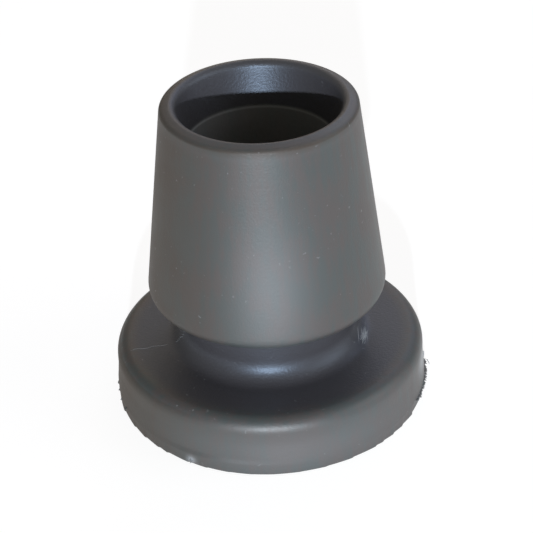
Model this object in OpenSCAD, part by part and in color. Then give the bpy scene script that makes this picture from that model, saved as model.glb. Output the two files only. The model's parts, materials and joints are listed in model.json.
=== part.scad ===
// Rubber cane tip, moulded in one piece. It is pressed on to the end of a walking
// stick's tube, and stands the stick on a wide ringed foot.
// Z runs up the axis of the socket, and the ground is at z = 0. Sizes are in millimetres.

/* [Foot] */
// Diameter of the foot below the mould line
foot_d = 49; // [46:0.2:56]
// Height of the foot, from the ground to its flat top
foot_h = 9.5; // [8:0.1:12]
// Height of the line where the two halves of the mould met
mould_line_h = 2; // [1:0.1:3]
// How far the wall steps in at the mould line
mould_step = 0.3; // [0.05:0.05:0.5]
// Draft of the wall above the mould line, in degrees
foot_draft = 1; // [0:0.5:4]
// Radius of the foot's upper edge
foot_edge_r = 2.2; // [0.5:0.1:3.5]
// Radius of the foot's lower edge
foot_base_r = 0.5; // [0.2:0.1:0.9]

/* [Tread] */
// Width of each ring groove at the ground
groove_w = 2.2; // [1.2:0.1:3]
// Depth of each ring groove
groove_depth = 1.4; // [0.5:0.1:2.5]
// Draft of the groove's sides, in degrees
groove_draft = 12; // [0:1:20]
// Distance from one ring groove to the next
groove_pitch = 4.6; // [4:0.1:7]
// Width of the plain ring outside the last groove
outer_ring_w = 3.2; // [2:0.1:6]
// Radius of the plain middle, at the least
middle_r = 3; // [2:0.5:6]

/* [Neck] */
// Diameter of the neck
neck_d = 26.4; // [25.6:0.2:29.6]
// Height of the neck, from the foot's top to the underside of the shoulder
neck_h = 8.3; // [6:0.1:14]
// Radius of the cove where the neck runs out into the foot
cove_r = 3; // [0.5:0.1:4]
// Radius of the cove under the shoulder
under_r = 1.2; // [0.3:0.1:1.8]

/* [Sleeve] */
// Largest diameter of the sleeve, at its shoulder
shoulder_d = 36.6; // [35.4:0.2:42]
// Radius of the shoulder's edge
shoulder_r = 2.1; // [0.5:0.1:2.5]
// Height of the sleeve, from the shoulder's underside to the rim
sleeve_h = 32.2; // [26:0.2:42]
// Diameter of the sleeve at the rim
rim_d = 29.3; // [29.2:0.1:34]
// Slope of the rim's face, which falls outwards from the lip, in degrees
rim_slope = 18; // [0:1:30]
// Radius of the rim's outer edge
rim_r = 0.8; // [0.4:0.1:1.4]

/* [Socket] */
// Bore that grips the stick's tube
bore_d = 22; // [18:0.1:23]
// Diameter of the mouth, inside the rim
mouth_d = 24.2; // [22.4:0.1:24.8]
// Radius of the rim's inner edge
lip_r = 1.1; // [0.2:0.1:1.7]
// Depth of the lead-in, from the rim to the straight bore
lead_in_h = 6.8; // [2:0.1:12]
// Thickness of rubber between the tube's end and the ground
sole_t = 11; // [8:0.5:15]
// Radius of the corner round the socket's floor
floor_r = 1.5; // [0.2:0.1:3]

/* [Hidden] */
$fn = 96;

// Number of short edges that make one arc of the section
ARC_STEPS = 10;
// How far a cutting form runs past the surface that it cuts
CUT_OVER = 1;

foot_radius = foot_d / 2;
neck_radius = neck_d / 2;
shoulder_z = foot_h + neck_h;
total_h = shoulder_z + sleeve_h;
crest_radius = mouth_d / 2 + lip_r;
face_apex = total_h + crest_radius * tan(rim_slope);

// Points of an arc round a centre, from one angle to another
function arc(centre, r, from, to) = [
    for (i = [0 : ARC_STEPS])
        let (a = from + (to - from) * i / ARC_STEPS)
        centre + r * [cos(a), sin(a)]
];

// Right side of the foot: its lower edge, the step at the mould line, the drafted wall
// and the round upper edge, tangent to the wall and to the flat top
function foot_side() =
    let (
        wall_radius = foot_radius - mould_step,
        edge_z = foot_h - foot_edge_r,
        lean = (edge_z - mould_line_h) * sin(foot_draft),
        edge_x = wall_radius - (foot_edge_r + lean) / cos(foot_draft)
    )
    concat(
        arc([foot_radius - foot_base_r, foot_base_r], foot_base_r, -90, 0),
        [[foot_radius, mould_line_h], [wall_radius, mould_line_h]],
        arc([edge_x, edge_z], foot_edge_r, foot_draft, 90)
    );

// Right side of the neck, with a cove at each end
function neck_side() = concat(
    arc([neck_radius + cove_r, foot_h + cove_r], cove_r, 270, 180),
    arc([neck_radius + under_r, shoulder_z - under_r], under_r, 180, 90)
);

// Right side of the sleeve: a straight taper, tangent to the shoulder's edge and the rim's.
// The rim's edge is tangent to its face too, a cone through the crest of the lip.
function sleeve_side() =
    let (
        low = [shoulder_d / 2 - shoulder_r, shoulder_z + shoulder_r],
        edge_x = rim_d / 2 - rim_r,
        touch = [edge_x + rim_r * sin(rim_slope), rim_r * cos(rim_slope)],
        high = [edge_x, face_apex - touch[0] * tan(rim_slope) - touch[1]],
        run = high - low,
        tangent = atan2(run[1], run[0]) - acos((shoulder_r - rim_r) / norm(run))
    )
    concat(
        arc(low, shoulder_r, -90, tangent),
        arc(high, rim_r, tangent, 90 - rim_slope)
    );

// Right side of the socket: the round lip, the lead-in, the straight bore and the floor
function socket_side() =
    let (
        bore_radius = bore_d / 2,
        mouth_radius = mouth_d / 2,
        taper = atan2(mouth_radius - bore_radius, lead_in_h - lip_r)
    )
    concat(
        arc([mouth_radius + lip_r, total_h - lip_r], lip_r, 90, 180 - taper),
        [[bore_radius, total_h - lead_in_h]],
        arc([bore_radius - floor_r, sole_t + floor_r], floor_r, 0, -90)
    );

// The outside of the moulding, turned about the axis, with the rim's cone whole
module outer_form() {
    rotate_extrude()
        polygon(concat([[0, 0]], foot_side(), neck_side(), sleeve_side(), [[0, face_apex]]));
}

// The hollow that takes the stick's tube, open at the rim
module socket_hollow() {
    above = face_apex + CUT_OVER;
    rotate_extrude()
        polygon(concat(
            [[0, above], [crest_radius, above]],
            socket_side(),
            [[0, sole_t]]
        ));
}

// One ring groove of the tread, narrower at its top so that it leaves the mould
module ring_groove(radius) {
    narrow = groove_depth * tan(groove_draft);
    half = groove_w / 2;
    spread = CUT_OVER * tan(groove_draft);
    rotate_extrude()
        polygon([
            [radius - half - spread, -CUT_OVER],
            [radius + half + spread, -CUT_OVER],
            [radius + half - narrow, groove_depth],
            [radius - half + narrow, groove_depth]
        ]);
}

// Concentric grooves under the foot, laid inwards for as long as there is room
module tread() {
    outermost = foot_radius - outer_ring_w - groove_w / 2;
    innermost = middle_r + groove_w / 2;
    for (radius = [outermost : -groove_pitch : innermost])
        ring_groove(radius);
}

module cane_tip() {
    color([0.27, 0.28, 0.3])
        difference() {
            outer_form();
            socket_hollow();
            tread();
        }
}

cane_tip();
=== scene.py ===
# %% [markdown]
# # A rubber cane tip
# The tip is the black rubber shoe on the end of a walking stick. It is moulded in one
# piece: a wide foot that grips the ground, a narrow neck that lets the foot tilt, and a
# tapered sleeve with a socket for the stick's tube. The engineering model gives its true
# size, so this script starts by loading it as a fixed frame, and takes the foot's radius
# and the height from its box.

import json
import math

import bpy
import numpy as np
from mathutils import Matrix, Vector


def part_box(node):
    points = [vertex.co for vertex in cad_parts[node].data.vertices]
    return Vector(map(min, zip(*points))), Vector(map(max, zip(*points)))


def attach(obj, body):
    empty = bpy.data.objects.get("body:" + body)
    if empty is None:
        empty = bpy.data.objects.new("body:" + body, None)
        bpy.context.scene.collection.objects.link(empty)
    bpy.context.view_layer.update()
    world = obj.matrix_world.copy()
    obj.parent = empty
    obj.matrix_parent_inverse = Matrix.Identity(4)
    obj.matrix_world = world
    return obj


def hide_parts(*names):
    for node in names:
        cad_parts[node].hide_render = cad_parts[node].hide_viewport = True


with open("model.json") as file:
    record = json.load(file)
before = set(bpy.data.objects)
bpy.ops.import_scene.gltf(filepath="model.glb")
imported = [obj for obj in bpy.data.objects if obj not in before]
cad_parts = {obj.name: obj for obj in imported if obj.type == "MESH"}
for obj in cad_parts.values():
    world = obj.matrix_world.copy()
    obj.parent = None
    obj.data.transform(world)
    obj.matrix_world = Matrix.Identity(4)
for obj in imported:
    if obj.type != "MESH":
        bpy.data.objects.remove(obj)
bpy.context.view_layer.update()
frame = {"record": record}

# %% [markdown]
# ## Sizes
# Blender works in metres, and a mould maker thinks in millimetres, so every size is
# written in millimetres and multiplied by `MM`. The foot's radius and the height come
# from the frame's own box, and the bore from the socket that its record states. The
# rest repeats the drawing of the mould.

# %% Sizes of the moulding
MM = 0.001

foot_low, foot_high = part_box("cane_tip")
FOOT_RADIUS = (foot_high.x - foot_low.x) / 2
HEIGHT = foot_high.z - foot_low.z
socket = next(m for m in frame["record"]["mounts"] if m["name"] == "socket")
BORE_RADIUS = socket["dims"]["r_mm"] * MM

FOOT_HEIGHT = 9.5 * MM
MOULD_LINE_HEIGHT = 2.0 * MM
MOULD_STEP = 0.3 * MM
MOULD_STEP_HEIGHT = 0.6 * MM
FOOT_DRAFT = math.radians(1)
FOOT_EDGE = 2.2 * MM
FOOT_BASE_EDGE = 0.5 * MM

NECK_RADIUS = 13.2 * MM
SHOULDER_HEIGHT = FOOT_HEIGHT + 8.3 * MM
NECK_COVE = 3.0 * MM
UNDER_COVE = 1.2 * MM

SHOULDER_RADIUS = 18.3 * MM
SHOULDER_EDGE = 2.1 * MM
RIM_RADIUS = 14.65 * MM
RIM_SLOPE = math.radians(18)
RIM_EDGE = 0.8 * MM

MOUTH_RADIUS = 12.1 * MM
LIP_EDGE = 1.1 * MM
CREST_RADIUS = MOUTH_RADIUS + LIP_EDGE
LEAD_IN_DEPTH = 6.8 * MM
BORE_TOP = HEIGHT - LEAD_IN_DEPTH
SOLE_THICKNESS = 11.0 * MM
FLOOR_CORNER = 1.5 * MM

GROOVE_WIDTH = 2.2 * MM
GROOVE_DEPTH = 1.4 * MM
GROOVE_DRAFT = math.radians(12)
GROOVE_PITCH = 4.6 * MM
OUTER_RING_WIDTH = 3.2 * MM
MIDDLE_RADIUS = 3.0 * MM
print("Foot radius", round(FOOT_RADIUS / MM, 2), "mm, height", round(HEIGHT / MM, 2), "mm")

# %% [markdown]
# ## The section
# A thing that was turned or moulded round an axis is easiest to make from its section:
# half of the cut face, drawn as a line of points from the middle of the sole, up the
# outside, over the rim and down the socket. Blender's Screw modifier or Spin tool could
# turn a drawn line, but points worked out in code keep each fillet exact. Two helpers
# draw straight and round stretches. Every call says how far apart its points are: close
# on small edges that catch the light, and wide on plain faces and out of sight.

# %% Helpers that draw the section
def straight(start, end, spacing):
    """Points from start to end, evenly spaced, without the start."""
    count = max(1, math.ceil(math.dist(start, end) / spacing))
    return [
        (start[0] + (end[0] - start[0]) * i / count, start[1] + (end[1] - start[1]) * i / count)
        for i in range(1, count + 1)
    ]


def round_corner(centre, radius, first, last, spacing):
    """Points of an arc round a centre, from one angle to another, in degrees."""
    count = max(3, math.ceil(math.radians(abs(last - first)) * radius / spacing))
    angles = [math.radians(first + (last - first) * i / count) for i in range(count + 1)]
    return [(centre[0] + radius * math.cos(a), centre[1] + radius * math.sin(a)) for a in angles]


# %% [markdown]
# The tread under the foot is out of sight when the tip stands, but it is what keeps a
# stick from slipping. Its ring grooves narrow upwards, so that the rubber can leave the
# mould. They are laid inwards from the foot's edge for as long as there is room.

# %% The sole with its ring grooves
def sole_section():
    """The underside, from the axis outwards."""
    points = [(0.0, 0.0)]
    outermost = FOOT_RADIUS - OUTER_RING_WIDTH - GROOVE_WIDTH / 2
    innermost = MIDDLE_RADIUS + GROOVE_WIDTH / 2
    count = int((outermost - innermost) / GROOVE_PITCH) + 1
    narrowing = GROOVE_DEPTH * math.tan(GROOVE_DRAFT)
    for i in reversed(range(count)):
        middle = outermost - i * GROOVE_PITCH
        inner, outer = middle - GROOVE_WIDTH / 2, middle + GROOVE_WIDTH / 2
        points += straight(points[-1], (inner, 0), spacing=1.2 * MM)
        points += straight(points[-1], (inner + narrowing, GROOVE_DEPTH), spacing=0.7 * MM)
        points += straight(points[-1], (outer - narrowing, GROOVE_DEPTH), spacing=0.9 * MM)
        points += straight(points[-1], (outer, 0), spacing=0.7 * MM)
    points += straight(points[-1], (FOOT_RADIUS - FOOT_BASE_EDGE, 0), spacing=0.8 * MM)
    print("The sole has", count, "ring grooves")
    return points[:-1]


# %% [markdown]
# The foot's wall is drafted, which means that it leans in a little so that it slides
# out of the mould. Its upper edge is an arc that starts along the leaning wall and ends
# level with the flat top. The two halves of the mould meet low on the wall, and the
# upper half is a touch smaller, which leaves a small step.

# %% The side of the foot
def foot_section():
    """The foot's wall, from the ground to its flat top."""
    wall = FOOT_RADIUS - MOULD_STEP
    edge_z = FOOT_HEIGHT - FOOT_EDGE
    lean = (edge_z - MOULD_LINE_HEIGHT) * math.sin(FOOT_DRAFT)
    edge_x = wall - (FOOT_EDGE + lean) / math.cos(FOOT_DRAFT)
    base_centre = (FOOT_RADIUS - FOOT_BASE_EDGE, FOOT_BASE_EDGE)
    points = round_corner(base_centre, FOOT_BASE_EDGE, -90, 0, spacing=0.15 * MM)
    points += straight(points[-1], (FOOT_RADIUS, MOULD_LINE_HEIGHT), spacing=0.25 * MM)
    points += straight(points[-1], (wall, MOULD_LINE_HEIGHT + MOULD_STEP_HEIGHT), spacing=0.08 * MM)
    draft = math.degrees(FOOT_DRAFT)
    upper_edge = round_corner((edge_x, edge_z), FOOT_EDGE, draft, 90, spacing=0.25 * MM)
    points += straight(points[-1], upper_edge[0], spacing=0.4 * MM)
    return points + upper_edge[1:]


# %% [markdown]
# The neck runs out into the foot in a cove, and meets the shoulder above it in a
# smaller one. The undercut between them is the reason why the upper mould has to open
# sideways in two halves.

# %% The neck
def neck_section(start):
    """The flat top of the foot, the neck and the shoulder's underside."""
    foot_centre = (NECK_RADIUS + NECK_COVE, FOOT_HEIGHT + NECK_COVE)
    foot_cove = round_corner(foot_centre, NECK_COVE, 270, 180, spacing=0.35 * MM)
    under_centre = (NECK_RADIUS + UNDER_COVE, SHOULDER_HEIGHT - UNDER_COVE)
    under_cove = round_corner(under_centre, UNDER_COVE, 180, 90, spacing=0.25 * MM)
    points = straight(start, foot_cove[0], spacing=0.6 * MM)
    points += foot_cove[1:]
    points += straight(points[-1], under_cove[0], spacing=0.4 * MM)
    return points + under_cove[1:]


# %% [markdown]
# The sleeve is one straight taper between two round edges of different radii. A line
# that touches both circles leans by the angle whose cosine is the difference of the
# radii over the distance of the centres, which is worked out here once and used for
# the ends of both arcs. The rim's face isn't level: it falls outwards from the crest of
# the lip, so the upper edge sits as far below the crest as that slope takes it.

# %% The sleeve
def sleeve_section():
    """The shoulder's edge, the tapered sleeve, the rim's edge and its sloping face."""
    low = (SHOULDER_RADIUS - SHOULDER_EDGE, SHOULDER_HEIGHT + SHOULDER_EDGE)
    edge_x = RIM_RADIUS - RIM_EDGE
    face_end = edge_x + RIM_EDGE * math.sin(RIM_SLOPE)
    fall = (face_end - CREST_RADIUS) * math.tan(RIM_SLOPE)
    high = (edge_x, HEIGHT - fall - RIM_EDGE * math.cos(RIM_SLOPE))
    heading = math.atan2(high[1] - low[1], high[0] - low[0])
    touch = math.degrees(heading - math.acos((SHOULDER_EDGE - RIM_EDGE) / math.dist(low, high)))
    shoulder = round_corner(low, SHOULDER_EDGE, -90, touch, spacing=0.3 * MM)
    rim = round_corner(high, RIM_EDGE, touch, 90 - math.degrees(RIM_SLOPE), spacing=0.15 * MM)
    rim += straight(rim[-1], (CREST_RADIUS, HEIGHT), spacing=0.2 * MM)[:-1]
    print("The sleeve leans by", round(touch, 1), "degrees, and the rim falls", round(fall / MM, 2), "mm")
    return shoulder + straight(shoulder[-1], rim[0], spacing=0.8 * MM) + rim[1:]


# %% [markdown]
# Inside the rim, a round lip and a short lead-in guide the tube to the bore. The bore
# ends in a floor with a round corner, and the section closes on the axis. The top of
# the bore has closer points, because a thin painted highlight ring lies there.

# %% The socket
# How far down from the top of the bore the points lie close, for the painted highlight ring.
HIGHLIGHT_RING_SPAN = 0.6 * MM


def socket_section():
    """The socket, from the lip to the middle of its floor."""
    taper = math.degrees(math.atan2(MOUTH_RADIUS - BORE_RADIUS, LEAD_IN_DEPTH - LIP_EDGE))
    lip_centre = (CREST_RADIUS, HEIGHT - LIP_EDGE)
    points = round_corner(lip_centre, LIP_EDGE, 90, 180 - taper, spacing=0.15 * MM)
    points += straight(points[-1], (BORE_RADIUS, BORE_TOP), spacing=0.5 * MM)
    points += straight(points[-1], (BORE_RADIUS, BORE_TOP - HIGHLIGHT_RING_SPAN), spacing=0.15 * MM)
    corner_centre = (BORE_RADIUS - FLOOR_CORNER, SOLE_THICKNESS + FLOOR_CORNER)
    corner = round_corner(corner_centre, FLOOR_CORNER, 0, -90, spacing=0.4 * MM)
    points += straight(points[-1], corner[0], spacing=2.2 * MM)
    points += corner[1:]
    return points + straight(points[-1], (0.0, SOLE_THICKNESS), spacing=2.0 * MM)


# %% [markdown]
# The section is put together here. Each stretch also says how much bloom it carries.
# Bloom is the pale film that wax and sulphur form on rubber: it stays on the outside,
# where the mould was blasted matt, and the polished neck and socket stay dark. The
# film fades over the round edges, so each point takes the mean of its neighbours.

# %% Put the section together
BLOOM_FADE = 1.1 * MM
SOLE_BLOOM = 0.6

foot = foot_section()
neck = neck_section(foot[-1])
stretches = [
    (sole_section(), SOLE_BLOOM),
    (foot, 1.0),
    (neck, 0.0),
    (sleeve_section(), 1.0),
    (socket_section(), 0.0),
]
section = np.array([p for points, bloom in stretches for p in points])
raw_bloom = np.array([bloom for points, bloom in stretches for p in points])
gaps = np.linalg.norm(section[:, None] - section[None, :], axis=-1)
closeness = np.exp(-((gaps / BLOOM_FADE) ** 2))
section_bloom = closeness @ raw_bloom / closeness.sum(axis=1)
print("The section has", len(section), "points")

# %% [markdown]
# ## Turning the section
# `turn` copies the section round the axis and joins neighbouring points with faces of
# four corners. Both ends of the section lie on the axis, where a fan of triangles
# closes the mesh, so the result is watertight, as a slicer or a simulation wants it.
# The coordinates are arrays, so that wear can be added to all points at once.

# %% Turn a section into points and faces
SIDES = 384


def turn(section, sides):
    """Points in rings from the second to the last but one, and the faces of the closed form."""
    ring_points = section[1:-1]
    angle = np.arange(sides) * math.tau / sides
    radius = ring_points[:, :1]
    height = np.repeat(ring_points[:, 1:], sides, axis=1)
    around = np.stack([radius * np.sin(angle), -radius * np.cos(angle), height], axis=-1)
    rings = len(ring_points)
    first, last = rings * sides, rings * sides + 1
    faces = []
    for ring in range(rings - 1):
        for side in range(sides):
            right = (side + 1) % sides
            a, b = ring * sides + side, ring * sides + right
            faces.append((a, b, b + sides, a + sides))
    for side in range(sides):
        right = (side + 1) % sides
        faces.append((first, right, side))
        faces.append((last, last - 1 - sides + side, last - 1 - sides + right))
    ends = np.array([[0, 0, section[0][1]], [0, 0, section[-1][1]]])
    return around, ends, faces


around, ends, faces = turn(section, SIDES)
print("Turned into", len(faces), "faces")

# %% [markdown]
# ## Wear of the foot's lower edge
# The rubber that squeezed out under the foot was trimmed with a blade. Each straight
# stroke leaves a flat, so the round edge becomes a polygon, with a small step where one
# stroke ends and the next begins. The steps are least in front, and the cuts are
# deepest on the left. The corners that the photo shows are written down by their
# azimuth, and random ones fill the rest. The seed is fixed, so every run gives the same
# tip. Azimuth 0 is the front and 90 the right.

# %% The blade's strokes
CORNERS_SEEN = (-84, -72, -61, -54, -46, -42, -32.5, -25, -16, -8, 0, 9, 18, 28.7, 38.6, 42.5, 48, 54, 61)
CORNERS_UNSEEN = 18
UNSEEN_FROM, UNSEEN_TO = 72, 268
STROKE_STEP = 0.2 * MM
STEP_GROWTH = 1.6
LEAST_STEP = 0.1
FLATNESS, LEFT_FLATTER = 0.3, 0.35
LEFT_PROUD = 0.12 * MM

random = np.random.default_rng(22)
corners_unseen = np.sort(random.uniform(UNSEEN_FROM, UNSEEN_TO, CORNERS_UNSEEN))
corners = np.radians(np.concatenate([np.array(CORNERS_SEEN), corners_unseen]))


def bump_on(angle, middle, width):
    """A smooth hump round one azimuth, given in degrees, from 0 to 1."""
    away = (angle - math.radians(middle) + math.pi) % math.tau - math.pi
    return np.exp(-((away / math.radians(width)) ** 2))


def trim_strokes(angle):
    """How far the trimmed edge stands off the full circle at each angle."""
    first = corners[0]
    turned = (angle - first) % math.tau + first
    index = np.searchsorted(corners, turned, side="right") - 1
    stroke_ends = np.append(corners[1:], first + math.tau)
    half = (stroke_ends[index] - corners[index]) / 2
    from_middle = turned - (corners[index] + half)
    flat = FOOT_RADIUS * (np.cos(half) / np.cos(from_middle) - 1)
    step = STROKE_STEP * np.clip(np.abs(np.sin(turned)) * STEP_GROWTH, LEAST_STEP, 1)
    flatness = FLATNESS + LEFT_FLATTER * bump_on(angle, middle=-50, width=18)
    proud = LEFT_PROUD * bump_on(angle, middle=-14, width=32)
    return flatness * flat + step * from_middle / half / 2 + proud


print("The lower edge was trimmed in", len(corners), "strokes")

# %% [markdown]
# The strokes move the points of the lower edge in and out, and fade up to the mould
# line. Moving points of the turned mesh keeps it closed, which cutting it wouldn't.

# %% Trim the lower edge
EDGE_BAND = 2 * MM

angle = np.arange(SIDES) * math.tau / SIDES
height = around[:, :, 2]
radius = np.hypot(around[:, :, 0], around[:, :, 1])
outwards = np.stack([np.sin(angle), -np.cos(angle), np.zeros(SIDES)], axis=-1)
near_edge = np.clip(1 - height / MOULD_LINE_HEIGHT, 0, 1) * (radius > FOOT_RADIUS - EDGE_BAND)
strokes = trim_strokes(angle)
around += (near_edge * strokes)[:, :, None] * outwards
print("The strokes reach from", round(strokes.min() / MM, 2), "to", round(strokes.max() / MM, 2), "mm")

# %% [markdown]
# The step at the mould line shows best on the left of the front. Elsewhere the halves
# met more truly, so the wall above the line comes out to meet the rubber below it, and
# the difference fades out further up the wall. Far to the left and right, the lower
# half sits a little further in.

# %% Even out the mould line
LINE_FADE_HEIGHT = 3.5 * MM
WALL_BAND = 1 * MM
STEPPED_LEAST, STEPPED_LEFT = 0.06, 0.9
SET_BACK_LEFT, SET_BACK_RIGHT = 0.2, 0.35

stepped = STEPPED_LEAST + STEPPED_LEFT * bump_on(angle, middle=-27, width=15)
over_line = height - MOULD_LINE_HEIGHT
over_step = np.clip(over_line / MOULD_STEP_HEIGHT, 0, 1)
on_side = radius > FOOT_RADIUS - WALL_BAND
flush = np.clip(1 - over_line / LINE_FADE_HEIGHT, 0, 1) - (1 - over_step)
filling = on_side * np.clip(flush, 0, 1) * MOULD_STEP * (1 - stepped)
left_back = SET_BACK_LEFT * bump_on(angle, middle=-94, width=11)
right_back = SET_BACK_RIGHT * bump_on(angle, middle=97, width=11)
filling -= on_side * (1 - over_step) * (left_back + right_back) * MM
around += filling[:, :, None] * outwards
faintest = MOULD_STEP * float(stepped.min())
print("The mould line's step is", round(faintest / MM, 2), "mm where it is faintest")

# %% [markdown]
# Moulded rubber is never as true as turned metal. A few slow waves, about a hundredth
# of a millimetre high, break the highlights in the way that the eye expects of rubber.
# The bore stays true, because it has to grip the tube.

# %% Let the surface wander a little
WAVE_HEIGHT = 0.012 * MM
WAVES_AROUND = (2, 3, 5, 7)
WAVES_UPWARDS = (6, 14)


def slow_waves(angle, height):
    """A smooth wobble over the angle and the height, that closes round the axis."""
    total = np.zeros(np.broadcast(angle, height).shape)
    for turns in WAVES_AROUND:
        for rise in WAVES_UPWARDS:
            phase = random.uniform(0, math.tau, 2)
            upwards = np.sin(rise * height * math.tau + phase[1])
            total += np.sin(turns * angle + phase[0]) * upwards / turns
    return WAVE_HEIGHT * total


free = (height > MOULD_LINE_HEIGHT + 1 * MM) & (radius > BORE_RADIUS + 0.3 * MM)
waves = free * slow_waves(angle, height)
around += waves[:, :, None] * outwards
print("The waves reach", round(float(waves.max() / MM), 3), "mm")

# %% [markdown]
# ## Wear and painted light that the material reads
# Some of what time does to rubber depends on the place and not on the shape, and some
# painted light and shade goes with it. The left side and the rim have browned and gone
# dull, and on the left the darkness is also painted shade. A pale scuff lies over the
# flash on the right. The front of the foot's wall and the low front of the sleeve are
# paler as painted light, the rim's right side carries a painted highlight beside its dust,
# and the socket is paler as painted light, with a painted highlight ring at the top of
# the bore. Each is stored with the points as a layer from 0 to 1, like the bloom, and the
# material mixes its colours by them. A painted image could do the same, but layers need
# no unwrapping. Regions come first: masks that say which points are on the wall, the
# sleeve, the rim or the bore.

# %% Regions of the surface
def hump(value, middle, width):
    """A smooth hump round one value, from 0 to 1."""
    return np.exp(-(((value - middle) / width) ** 2))


def ramp(value, start, end):
    """0 at the start, 1 at the end, and a straight ramp between them."""
    return np.clip((value - start) / (end - start), 0, 1)


wall = ramp(radius, FOOT_RADIUS - 1.6 * MM, FOOT_RADIUS - 0.4 * MM) * (height < FOOT_HEIGHT)
sleeve = (height > SHOULDER_HEIGHT) & (radius > MOUTH_RADIUS)
rim = ramp(height, HEIGHT - 1.9 * MM, HEIGHT - 1.0 * MM) * sleeve
rim_edge = hump(height, middle=HEIGHT - 0.7 * MM, width=0.4 * MM) * (radius > RIM_RADIUS - 0.7 * MM)
rim_crest = hump(radius, middle=CREST_RADIUS, width=0.35 * MM) * (height > HEIGHT - 0.3 * MM)
in_socket = (radius < MOUTH_RADIUS) & (height > SOLE_THICKNESS / 2)
bore = ramp(height, BORE_TOP + 0.2 * MM, BORE_TOP) * in_socket
print("The rim has", int((rim > 0.5).sum()), "points and the bore", int((bore > 0.5).sum()))

# %% [markdown]
# Rubber browns as light and air work on it. Here the left of the tip is browner and
# darker, partly its brown tone and partly painted shade, the rim has browned a little,
# and the rim's outer edge is made a dull dark line, most so in front.

# %% The browned and shaded layer
SLEEVE_BROWN_AND_SHADE, RIM_BROWN, EDGE_DARK, EDGE_FRONT_DARK = 0.75, 0.28, 0.4, 0.4

wall_below_edge = wall * (height < FOOT_HEIGHT - 0.8 * MM)
# The left side is browner and darker: partly its brown tone, partly painted shade on the side away from
# the right lamp.
left_brown_and_shade = bump_on(angle, middle=-78, width=46) * (wall_below_edge + SLEEVE_BROWN_AND_SHADE * sleeve)
# The rim's outer edge is made a dull dark line, most so in front.
edge_dark_line = (EDGE_DARK + EDGE_FRONT_DARK * bump_on(angle, middle=0, width=60)) * rim_edge
browned = np.maximum(np.maximum(left_brown_and_shade, RIM_BROWN * rim), edge_dark_line)
print("Browned on", round(100 * float((browned > 0.5).mean())), "% of the points")

# %% [markdown]
# Scuffs and dust are pale, and so are the painted light on the front and in the socket
# and the painted highlights on the rim's right side and at the top of the bore. Each has
# its own place: a spot round an azimuth and a height, or one of the regions. They are
# added up to one layer.

# %% The pale layer of scuffs, dust and painted light, and the bloom
FUZZ_AZIMUTH = -31
SOCKET_PAINTED_LIGHT = 0.3


def spot(azimuth, spread, up, reach):
    """A soft spot of wear, at an azimuth in degrees and a height in millimetres."""
    return bump_on(angle, azimuth, spread) * hump(height, up * MM, reach * MM)


flash_scuff = spot(azimuth=81, spread=8, up=5.6, reach=2) * wall
fuzz_scuff = 0.7 * spot(azimuth=FUZZ_AZIMUTH, spread=1.6, up=0.9, reach=0.6) * wall
# The front of the foot's wall and the low front of the sleeve are made paler: painted light where the lamp
# in front falls.
wall_front_painted_light = 0.12 * spot(azimuth=12, spread=55, up=4, reach=4) * wall
sleeve_front_painted_light = 0.18 * spot(azimuth=2, spread=18, up=SHOULDER_HEIGHT / MM + 10, reach=10) * sleeve
# The rim carries pale dust, a painted highlight on its right side, and a pale line along its crest.
rim_dust_and_right_highlight = 0.06 + 0.1 * bump_on(angle, middle=75, width=45) + 0.06 * bump_on(angle, middle=-90, width=40)
rim_dust_and_highlight = rim_dust_and_right_highlight * rim * (1 - rim_edge) + 0.07 * rim_crest
# The socket is made paler as painted light, and a painted highlight ring lies at the top of the bore.
painted_highlight_ring = hump(height, middle=BORE_TOP - 0.15 * MM, width=0.15 * MM)
bore_painted_light = (SOCKET_PAINTED_LIGHT + 0.4 * painted_highlight_ring) * bore
scuffed = flash_scuff + fuzz_scuff + wall_front_painted_light + sleeve_front_painted_light + rim_dust_and_highlight + bore_painted_light
# The bore also takes the bloomed finish, whose paler film adds to the socket's painted light.
bloom = np.maximum(np.repeat(section_bloom[1:-1, None], SIDES, axis=1), bore)
print("Scuffed on", round(100 * float((scuffed > 0.1).mean())), "% of the points")

# %% [markdown]
# ## From arrays to a Blender mesh
# One helper makes the object, shades it smooth, keeps edges sharper than 35 degrees
# crisp, and stores the layers as attributes of each point.

# %% Make mesh objects
SHARP_FROM = math.radians(35)


def make_piece(name, points, faces, **layers):
    """A mesh object in the scene, smooth shaded, with its layers stored per point."""
    mesh = bpy.data.meshes.new(name)
    mesh.from_pydata(np.asarray(points).tolist(), [], faces)
    mesh.validate()
    mesh.shade_smooth()
    mesh.set_sharp_from_angle(angle=SHARP_FROM)
    for layer, values in layers.items():
        attribute = mesh.attributes.new(layer, "FLOAT", "POINT")
        attribute.data.foreach_set("value", values)
    piece = bpy.data.objects.new(name, mesh)
    bpy.context.scene.collection.objects.link(piece)
    print(name, "has", len(mesh.polygons), "faces")
    return piece


def with_ends(layer, sole_middle, floor_middle):
    """The layer's rings, followed by its values at the two points on the axis."""
    return np.append(layer.ravel(), [sole_middle, floor_middle])


tip = make_piece(
    "rubber_tip",
    np.concatenate([around.reshape(-1, 3), ends]),
    faces,
    bloom=with_ends(bloom, SOLE_BLOOM, 1),
    browned=with_ends(browned, 0, 0),
    scuffed=with_ends(scuffed, 0, SOCKET_PAINTED_LIGHT),
)

# %% [markdown]
# ## The flash
# Rubber creeps into the gap between the mould's halves and leaves a thin ragged fin,
# called flash. Most of it was torn off. What is left stands on the right, and on the
# left only a few nibs do. The fin is a closed ring of its own with far more sides than
# the tip, because its tears are only a few tenths of a millimetre wide. Where it was
# torn off clean, the ring stays under the surface.

# %% How far the flash stands out
FLASH_SIDES = 1600
FLASH_SUNK = -0.45 * MM
FLASH_SEEN = (64, 92)
FLASH_TAPER = 1.2
NIBS = ((-85, 0.12, 1.7), (-80.5, 0.2, 0.6), (-75, 0.3, 0.5), (-69, 0.32, 1.0))

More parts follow.
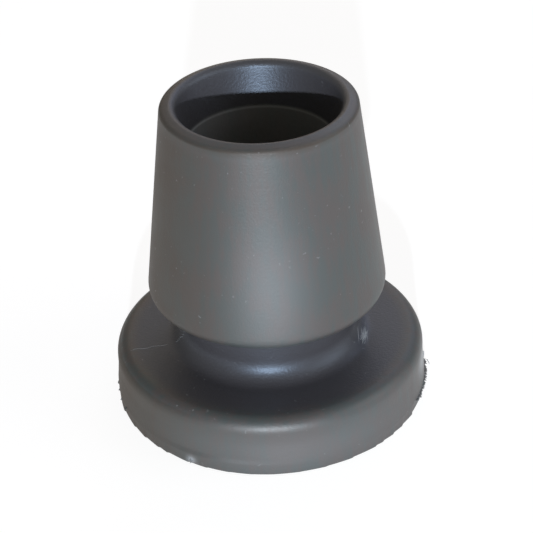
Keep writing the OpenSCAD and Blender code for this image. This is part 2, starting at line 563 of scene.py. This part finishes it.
flash_angle = np.arange(FLASH_SIDES) * math.tau / FLASH_SIDES


def ragged(count, spread):
    """Random tears round a ring, smoothed over a few neighbours."""
    noise = random.uniform(0, 1, count)
    weights = np.hanning(spread + 2)[1:-1]
    padded = np.concatenate([noise[-spread:], noise, noise[:spread]])
    return np.convolve(padded, weights / weights.sum(), mode="same")[spread:-spread]


degrees = np.degrees(flash_angle)
kept = np.clip(np.minimum(degrees - FLASH_SEEN[0], FLASH_SEEN[1] - degrees) / FLASH_TAPER, 0, 1)
fine_tears = ragged(FLASH_SIDES, 1)
broad_tears = ragged(FLASH_SIDES, 15)
kept_length = 0.28 + 0.5 * fine_tears + 0.3 * broad_tears
reach = FLASH_SUNK + kept * kept_length * MM
for middle, length, width in NIBS:
    reach += bump_on(flash_angle, middle, width) * (length * MM - FLASH_SUNK)
print("The flash stands out by", round(float(reach.max() / MM), 2), "mm")

# %% [markdown]
# The fin's section has four corners: one deep in the rubber, two near the torn edge, one
# above the other, and the edge itself. The fin sways a little and droops as it reaches
# out, since it is too thin to hold itself up.

# %% Make the flash
FLASH_ROOT = 0.7 * MM
FLASH_HALF_THICKNESS = 0.05 * MM
FLASH_DROOP = 0.9
FLASH_SWAY = 0.3 * MM
FLASH_HEIGHT = MOULD_LINE_HEIGHT - 0.15 * MM
THICKEST_AT = 0.8
FLASH_CORNERS = 4
# The fin is made a little paler as painted light, for the light its face catches.
FLASH_PAINTED_LIGHT = 0.12

sway = FLASH_SWAY * (ragged(FLASH_SIDES, 31) - 0.5) - np.clip(reach, 0, None) * FLASH_DROOP
across = np.stack([np.full(FLASH_SIDES, -FLASH_ROOT), reach * THICKEST_AT, reach, reach * THICKEST_AT])
lift = np.stack([0 * sway, sway - FLASH_HALF_THICKNESS, sway, sway + FLASH_HALF_THICKNESS])
flash_radius = FOOT_RADIUS + across
flash_x, flash_y = flash_radius * np.sin(flash_angle), -flash_radius * np.cos(flash_angle)
flash_points = np.stack([flash_x, flash_y, FLASH_HEIGHT + lift], axis=-1)
flash_faces = []
for ring in range(FLASH_CORNERS):
    for side in range(FLASH_SIDES):
        here, following = ring * FLASH_SIDES, (ring + 1) % FLASH_CORNERS * FLASH_SIDES
        right = (side + 1) % FLASH_SIDES
        flash_faces.append((here + side, here + right, following + right, following + side))
everywhere = np.ones(FLASH_CORNERS * FLASH_SIDES)
flash = make_piece(
    "mould_flash",
    flash_points.reshape(-1, 3),
    flash_faces,
    bloom=everywhere,
    scuffed=everywhere * FLASH_PAINTED_LIGHT,
)

# %% [markdown]
# ## Torn shreds
# Where the halves of the upper mould met, on both sides of the neck, the rubber tore.
# It stands up in shreds on the right, and on the left it has left crumbs and a fine
# line that runs out over the foot. A spike and a curl of flash stand out on the right,
# and a tuft of fuzz hangs under the left of the front. All of these are thin strands
# that taper to a point. Curves with a bevel could draw them, but a closed tube of faces
# is a clean mesh at once, so one helper draws each strand through a few points.

# %% Draw strands
STRAND_SIDES = 6
strand_points, strand_faces = [], []


def at(azimuth, radius, height):
    """A point in space from an azimuth in degrees, a radius and a height in millimetres."""
    turned = math.radians(azimuth)
    return Vector((radius * math.sin(turned), -radius * math.cos(turned), height)) * MM


def strand(path, thickness):
    """Adds a closed tube through the path, thickest at its middle and pointed at both ends."""
    start = len(strand_points)
    inner = path[1:-1]
    strand_points.append(path[0])
    for i, middle in enumerate(inner):
        along = (path[i + 2] - path[i]).normalized()
        sideways = along.orthogonal().normalized()
        upwards = along.cross(sideways)
        for side in range(STRAND_SIDES):
            turned = math.tau * side / STRAND_SIDES
            spoke = math.cos(turned) * sideways + math.sin(turned) * upwards
            strand_points.append(middle + thickness / 2 * spoke)
    strand_points.append(path[-1])
    last = len(strand_points) - 1
    for side in range(STRAND_SIDES):
        right = (side + 1) % STRAND_SIDES
        strand_faces.append((start, start + 1 + right, start + 1 + side))
        strand_faces.append((last, last - STRAND_SIDES + side, last - STRAND_SIDES + right))
        for ring in range(len(inner) - 1):
            a = start + 1 + ring * STRAND_SIDES
            strand_faces.append((a + side, a + right, a + STRAND_SIDES + right, a + STRAND_SIDES + side))


# %% [markdown]
# The two seams on the neck lie almost opposite each other, which is how it shows that
# the upper mould had two halves. The strands grow from the cove between the neck and the
# foot. Where each one leans is random, and how many there are follows the photo. Lengths
# here are in millimetres and spreads in degrees, because `at` takes them so.

# %% Shreds on the right seam
SEAM_RIGHT = 71.5
SHREDS = 26
SHRED_SPREAD = 1.7
SHRED_ROOTS = (1.5, 2.8)
SHRED_LEAN = 0.22
SHRED_RISE = (0.4, 3.4)
SHRED_THICKNESS = (0.035, 0.075)
NECK_MM, FOOT_MM, TOP_MM, COVE_MM = NECK_RADIUS / MM, FOOT_RADIUS / MM, FOOT_HEIGHT / MM, NECK_COVE / MM


def on_cove(azimuth, radius):
    """A point on the cove between the neck and the foot."""
    from_centre = NECK_MM + COVE_MM - radius
    return at(azimuth, radius, TOP_MM + COVE_MM - math.sqrt(COVE_MM**2 - from_centre**2))


for i in range(SHREDS):
    root = on_cove(SEAM_RIGHT + random.normal(0, SHRED_SPREAD), NECK_MM + random.uniform(*SHRED_ROOTS))
    rise = Vector((*random.normal(0, SHRED_LEAN, 2), random.uniform(*SHRED_RISE))) * MM
    shred = [root, root + 0.35 * rise, root + 0.75 * rise, root + rise]
    strand(shred, thickness=random.uniform(*SHRED_THICKNESS) * MM)
print("The right seam has", SHREDS, "shreds")

# %% [markdown]
# On the left the crumbs sit one above the other, each a short stroke across the seam,
# and the fine line wanders a little as it runs out over the foot's flat top.

# %% Crumbs and a line on the left seam
SEAM_LEFT = -79
CRUMBS = 7
CRUMB_SPREAD = 0.7
FIRST_CRUMB, CRUMB_PITCH = 0.25, 0.22
CRUMB_SLANT = at(SEAM_LEFT + 8, 0.3, 0.12)
LINE_POINTS = 16
LINE_FROM, LINE_TO = NECK_MM + 2.9, FOOT_MM - 2.2
LINE_WANDER, LINE_WAVES = 0.35, 2.3

for i in range(CRUMBS):
    root = on_cove(SEAM_LEFT + random.normal(0, CRUMB_SPREAD), NECK_MM + FIRST_CRUMB + CRUMB_PITCH * i)
    crumb = [root - CRUMB_SLANT, root - CRUMB_SLANT / 2, root + CRUMB_SLANT / 2, root + CRUMB_SLANT]
    strand(crumb, thickness=0.06 * MM)
line_radii = np.linspace(LINE_FROM, LINE_TO, LINE_POINTS)
line = [at(SEAM_LEFT + LINE_WANDER * math.sin(LINE_WAVES * r), r, TOP_MM) for r in line_radii]
strand(line, thickness=0.045 * MM)
print("The left seam has", CRUMBS, "crumbs and a line", round(LINE_TO - LINE_FROM, 1), "mm long")

# %% [markdown]
# The spike and the curl are one strand each, through points that follow the photo: an
# azimuth in degrees, a radius and a height in millimetres. The tuft is a few short hairs
# that lean every way. All the strands then become one mesh.

# %% The spike, the curl and the tuft
SPIKE = ((90.5, 24.2, 1.8), (91, 24.45, 2.2), (91.5, 24.5, 2.8), (91.8, 24.5, 3.2))
CURL = ((89.5, 24.3, 1.8), (89, 24.65, 2.3), (88, 24.95, 2.5), (87, 25.2, 2.2), (86.5, 25.3, 1.9))
HAIRS = 16
HAIR_SPREAD, HAIR_LEAN = 1.3, 25
HAIR_ROOTS = (0.3, 1.3)
HAIR_LENGTH, HAIR_DROOP = 0.45, -0.1
TORN_PALE = 0.5

strand([at(*place) for place in SPIKE], thickness=0.2 * MM)
strand([at(*place) for place in CURL], thickness=0.12 * MM)
for i in range(HAIRS):
    azimuth = FUZZ_AZIMUTH + random.normal(0, HAIR_SPREAD)
    root = at(azimuth, FOOT_MM - 0.2, random.uniform(*HAIR_ROOTS))
    end = root + at(azimuth + random.normal(0, HAIR_LEAN), HAIR_LENGTH, HAIR_DROOP)
    strand([root, root.lerp(end, 0.4), root.lerp(end, 0.8), end], thickness=0.07 * MM)
shreds = make_piece(
    "torn_shreds",
    strand_points,
    strand_faces,
    bloom=np.ones(len(strand_points)),
    scuffed=np.full(len(strand_points), TORN_PALE),
)

# %% [markdown]
# ## Writing shader maths
# A material is a graph of nodes, and sums are easier to read as sums. `Wire` wraps one
# output of a node, and its operators add the Math nodes. `Finish` holds a material,
# and its one method `node` adds any other node: first its settings, then the values or
# wires of its inputs.

# %% A class for sums
class Wire:
    """One output of a shader node, which takes part in sums like a number."""

    def __init__(self, finish, socket):
        self.finish = finish
        self.socket = socket

    def maths(self, operation, first, second):
        """A Math node on two wires or numbers."""
        return self.finish.node("ShaderNodeMath", {"operation": operation}, first, second)

    def __add__(self, other):
        return self.maths("ADD", self, other)

    def __radd__(self, other):
        return self.maths("ADD", other, self)

    def __mul__(self, other):
        return self.maths("MULTIPLY", self, other)

    def __rmul__(self, other):
        return self.maths("MULTIPLY", other, self)

    def larger(self, other):
        """The larger of two values at each place."""
        return self.maths("MAXIMUM", self, other)


# %% [markdown]
# Some of Blender's nodes keep one set of sockets for each kind of value. The Mix node's
# colours are its last inputs and its last output, so `mix` skips the sets for numbers
# and vectors. Colours always go through it, because a Math node turns a colour grey.

# %% A class for materials
class Finish:
    """A material under construction."""

    def __init__(self, name):
        self.material = bpy.data.materials.new(name)
        self.material.use_nodes = True
        self.tree = self.material.node_tree
        self.tree.nodes.clear()

    def node(self, kind, settings, *values, output=0, **named):
        """Adds a node, sets its settings and its inputs but for None, and returns an output."""
        node = self.tree.nodes.new(kind)
        for setting, value in settings.items():
            setattr(node, setting, value)
        inputs = [(socket, value) for socket, value in zip(node.inputs, values) if value is not None]
        inputs += [(node.inputs[name.replace("_", " ")], value) for name, value in named.items()]
        for socket, value in inputs:
            if isinstance(value, Wire):
                self.tree.links.new(value.socket, socket)
            else:
                socket.default_value = value
        return Wire(self, node.outputs[output]) if node.outputs else node

    def smooth(self, value, low, high):
        """0 below low, 1 above high, and a smooth ramp between them."""
        settings = {"interpolation_type": "SMOOTHSTEP"}
        return self.node("ShaderNodeMapRange", settings, value, low, high)

    def noise(self, place, scale, detail, roughness=0.5):
        """Noise from 0 to 1 whose cells are about one over scale metres wide."""
        values = {"Vector": place, "Scale": scale, "Detail": detail, "Roughness": roughness}
        return self.node("ShaderNodeTexNoise", {}, **values)

    def mix(self, share, first, second):
        """A colour between two colours."""
        skipped = [None] * 5
        return self.node("ShaderNodeMix", {"data_type": "RGBA"}, share, *skipped, first, second, output=2)

    def layer(self, name):
        """A layer of wear that the mesh stores with its points."""
        return self.node("ShaderNodeAttribute", {"attribute_name": name}, output="Fac")


# %% [markdown]
# ## The patterns in the rubber
# The bloom is patchy: it drifts from greenish to warm, runs in faint upright streaks
# where the tip slid out of the mould, and holds pale specks of dust. A fine grain from
# the mould's face roughens all of it. Noise at four sizes gives these, taken in the
# object's own coordinates, so that the patterns stay on the rubber from every side and
# need no unwrapping. The streaks are noise that is stretched along the axis.

# %% Noise for patches, streaks, grain and specks
BLOOM_COOL = (0.039, 0.050, 0.051, 1)
BLOOM_WARM = (0.055, 0.048, 0.047, 1)
STREAK_STRETCH = (1, 1, 0.12)
GRAIN_HEIGHT = 0.1 * MM
SPECK_PALE = 0.28

rubber = Finish("moulded_rubber")
place = rubber.node("ShaderNodeTexCoord", {}, output="Object")
upright = rubber.node("ShaderNodeVectorMath", {"operation": "MULTIPLY"}, place, STREAK_STRETCH)
clouds = rubber.noise(place, scale=130, detail=4, roughness=0.6)
streaks = rubber.noise(upright, scale=900, detail=4, roughness=0.65)
grain = rubber.noise(place, scale=2600, detail=3, roughness=0.6)
fine_grain = rubber.node("ShaderNodeBump", {}, Strength=0.3, Distance=GRAIN_HEIGHT, Height=grain)
strong_grain = rubber.node("ShaderNodeBump", {}, Strength=0.5, Distance=GRAIN_HEIGHT, Height=grain)

patches = rubber.smooth(clouds * 0.5 + streaks * 0.5, low=0.42, high=0.58)
film = rubber.mix(patches, BLOOM_COOL, BLOOM_WARM)
crumbly = rubber.smooth(rubber.noise(place, scale=1300, detail=1), low=0.7, high=0.8)
specks = crumbly * rubber.smooth(clouds, low=0.45, high=0.6)
# The pale layer holds scuffs and dust, and also painted light and painted highlights.
dust_and_painted_light = rubber.layer("scuffed").larger(specks * SPECK_PALE)
print("The patterns take", len(rubber.tree.nodes), "nodes")

# %% [markdown]
# ## The rubber's three finishes
# Carbon black makes the rubber dark. Where the mould was polished, in the neck and the
# mouth, it shines a little and looks bluish. The bloom over the rest is a thin grey film
# that spreads the shine out, and where the rubber has aged it is brown and dull. The same
# brown, dull finish also lays painted shade over the left side. Each finish is a Principled
# shader of its own, so that one can be tuned without the others, and the layers that the
# mesh stores mix them.

# %% Polished, bloomed and aged rubber, and painted shade
POLISHED = (0.044, 0.040, 0.042, 1)
POLISHED_TINT = (0.64, 0.81, 1.0, 1)
POLISHED_SPECKS = 0.2
BLOOM_TINT = (1.0, 0.98, 0.94, 1)
BROWN_AND_SHADE = (0.040, 0.030, 0.021, 1)
BROWN_AND_SHADE_TINT = (1.0, 0.87, 0.75, 1)
PALE_DUST_AND_LIGHT = (0.38, 0.40, 0.41, 1)

polished = rubber.node(
    "ShaderNodeBsdfPrincipled",
    {},
    Base_Color=rubber.mix(specks * POLISHED_SPECKS, POLISHED, PALE_DUST_AND_LIGHT),
    Roughness=0.46,
    Specular_IOR_Level=0.85,
    Specular_Tint=POLISHED_TINT,
    Normal=strong_grain,
)
bloomed = rubber.node(
    "ShaderNodeBsdfPrincipled",
    {},
    Base_Color=rubber.mix(dust_and_painted_light, film, PALE_DUST_AND_LIGHT),
    Roughness=0.38 + 0.16 * streaks + 0.08 * clouds,
    Specular_IOR_Level=0.9,
    Specular_Tint=BLOOM_TINT,
    Normal=fine_grain,
)
aged_and_shade_finish = rubber.node(
    "ShaderNodeBsdfPrincipled",
    {},
    Base_Color=rubber.mix(dust_and_painted_light, BROWN_AND_SHADE, PALE_DUST_AND_LIGHT),
    Roughness=0.62,
    Specular_IOR_Level=0.5,
    Specular_Tint=BROWN_AND_SHADE_TINT,
    Normal=fine_grain,
)
# Where this layer is high the brown, dull finish goes on: aged rubber, and painted shade on the left side.
brown_and_shade_share = rubber.layer("browned") * (0.75 + 0.5 * clouds)
outside = rubber.node("ShaderNodeMixShader", {}, brown_and_shade_share, bloomed, aged_and_shade_finish)
surface = rubber.node("ShaderNodeMixShader", {}, rubber.layer("bloom"), polished, outside)
rubber.node("ShaderNodeOutputMaterial", {}, Surface=surface)
print("The rubber's material has", len(rubber.tree.nodes), "nodes")

# %% [markdown]
# All three meshes are of the same rubber and belong to the same solid, so they share the
# material and its slot, and ride on the frame's one body. The turned mesh stands in for
# the solid of the engineering model, and the flash and the shreds only add to it.

# %% Put the rubber on the pieces
for piece in (tip, flash, shreds):
    piece.data.materials.append(rubber.material)
    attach(piece, "root")
    print(piece.name, "is of", rubber.material.name)
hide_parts("cane_tip")

# %% [markdown]
# ## The floor
# A pale floor shows pure white to the camera, as a cut-out picture does, and still
# keeps the soft shadow that ties the tip to the ground. Its light for the camera is
# raised with Light Path, so the rubber itself gets no extra light.

# %% The floor
FLOOR_SIZE = 3.0
FLOOR_PALE = (0.8, 0.8, 0.79, 1)
FLOOR_SEEN = (0.25, 0.25, 0.25, 1)
FLOOR_LIFT = 0.86
WHITE = (1, 1, 1, 1)

half = FLOOR_SIZE / 2
floor_corners = [(-half, -half, 0), (half, -half, 0), (half, half, 0), (-half, half, 0)]
floor_mesh = bpy.data.meshes.new("floor")
floor_mesh.from_pydata(floor_corners, [], [(0, 1, 2, 3)])
floor = bpy.data.objects.new("floor", floor_mesh)
bpy.context.scene.collection.objects.link(floor)

pale = Finish("pale_floor")
camera_ray = pale.node("ShaderNodeLightPath", {}, output="Is Camera Ray")
glossy_ray = pale.node("ShaderNodeLightPath", {}, output="Is Glossy Ray")
clear_ray = pale.node("ShaderNodeLightPath", {}, output="Is Transmission Ray")
seen = camera_ray.larger(glossy_ray).larger(clear_ray)
matt = pale.node("ShaderNodeBsdfDiffuse", {}, Color=pale.mix(seen, FLOOR_PALE, FLOOR_SEEN))
lift = pale.node("ShaderNodeEmission", {}, Color=WHITE, Strength=seen * FLOOR_LIFT)
both = pale.node("ShaderNodeAddShader", {}, matt, lift)
pale.node("ShaderNodeOutputMaterial", {}, Surface=both)
floor.data.materials.append(pale.material)
print("The floor is", FLOOR_SIZE, "m wide")

# %% [markdown]
# ## Light
# The photo has one bright, small light low in front, which draws the broad sheen down
# the middle of the sleeve and throws the front rim's shadow into the mouth. A small lamp
# does that here. A wide soft lamp opens up the right, a warm and a cool one behind bring
# out the foot's flat top and the rim, and a dim warm room fills the rest. Square area
# lamps are used, because their size sets how soft each shadow and highlight is.

# %% Lamps and the room
ROOM_COLOUR = (1.0, 0.90, 0.74, 1)
ROOM_STRENGTH = 0.22


def soft_lamp(name, azimuth, elevation, distance, size, power, tint):
    """A square lamp that faces the tip. Azimuth 0 is in front, and 90 on the right."""
    turned, raised = math.radians(azimuth), math.radians(elevation)
    lamp_data = bpy.data.lights.new(name, "AREA")
    lamp_data.size = size
    lamp_data.energy = power
    lamp_data.color = tint
    lamp = bpy.data.objects.new(name, lamp_data)
    aim = Vector((0, 0, HEIGHT / 2))
    level = math.cos(raised)
    away = Vector((math.sin(turned) * level, -math.cos(turned) * level, math.sin(raised)))
    lamp.location = aim + distance * away
    lamp.rotation_euler = away.to_track_quat("Z", "Y").to_euler()
    bpy.context.scene.collection.objects.link(lamp)
    print(name, "gives", power, "W from", distance, "m away")


COOL_WHITE, NEAR_WHITE = (0.80, 0.88, 1.0), (0.90, 0.93, 1.0)
WARM, BLUE = (1.0, 0.80, 0.65), (0.60, 0.70, 1.0)
soft_lamp("low_front_lamp", azimuth=-2, elevation=11.7, distance=1.2, size=0.02, power=17, tint=COOL_WHITE)
soft_lamp("right_lamp", azimuth=80, elevation=25, distance=1.0, size=0.7, power=2.8, tint=NEAR_WHITE)
soft_lamp("warm_back_lamp", azimuth=180, elevation=30, distance=1.0, size=0.7, power=1.3, tint=WARM)
soft_lamp("cool_back_lamp", azimuth=150, elevation=35, distance=1.0, size=0.7, power=1.5, tint=BLUE)

room = bpy.data.worlds.new("room")
bpy.context.scene.world = room
room.use_nodes = True
background = room.node_tree.nodes["Background"]
background.inputs["Color"].default_value = ROOM_COLOUR
background.inputs["Strength"].default_value = ROOM_STRENGTH

# %% [markdown]
# ## Camera
# The camera's place and lens were worked out from the outline of the tip in the photo:
# it looks down at 33 degrees from about a quarter of a metre away, with a slight roll.
# The Standard view transform shows the colours as they are written.

# %% Camera
LENS = 113.7
SENSOR_WIDTH = 36
NEAREST_SEEN = 0.01
CAMERA_DISTANCE = 259.4 * MM
CAMERA_ELEVATION = math.radians(33.26)
CAMERA_ROLL = math.radians(-2.70)
AIM_HEIGHT = 21.12 * MM

camera_data = bpy.data.cameras.new("camera")
camera_data.lens = LENS
camera_data.sensor_width = SENSOR_WIDTH
camera_data.clip_start = NEAREST_SEEN
camera = bpy.data.objects.new("camera", camera_data)
away = Vector((0, -math.cos(CAMERA_ELEVATION), math.sin(CAMERA_ELEVATION)))
camera.location = Vector((0, 0, AIM_HEIGHT)) + CAMERA_DISTANCE * away
facing = away.to_track_quat("Z", "Y").to_matrix().to_4x4()
camera.rotation_euler = (facing @ Matrix.Rotation(CAMERA_ROLL, 4, "Z")).to_euler()
bpy.context.scene.collection.objects.link(camera)
bpy.context.scene.camera = camera
bpy.context.scene.view_settings.view_transform = "Standard"
print("The camera is", round(CAMERA_DISTANCE / MM), "mm from where it looks")
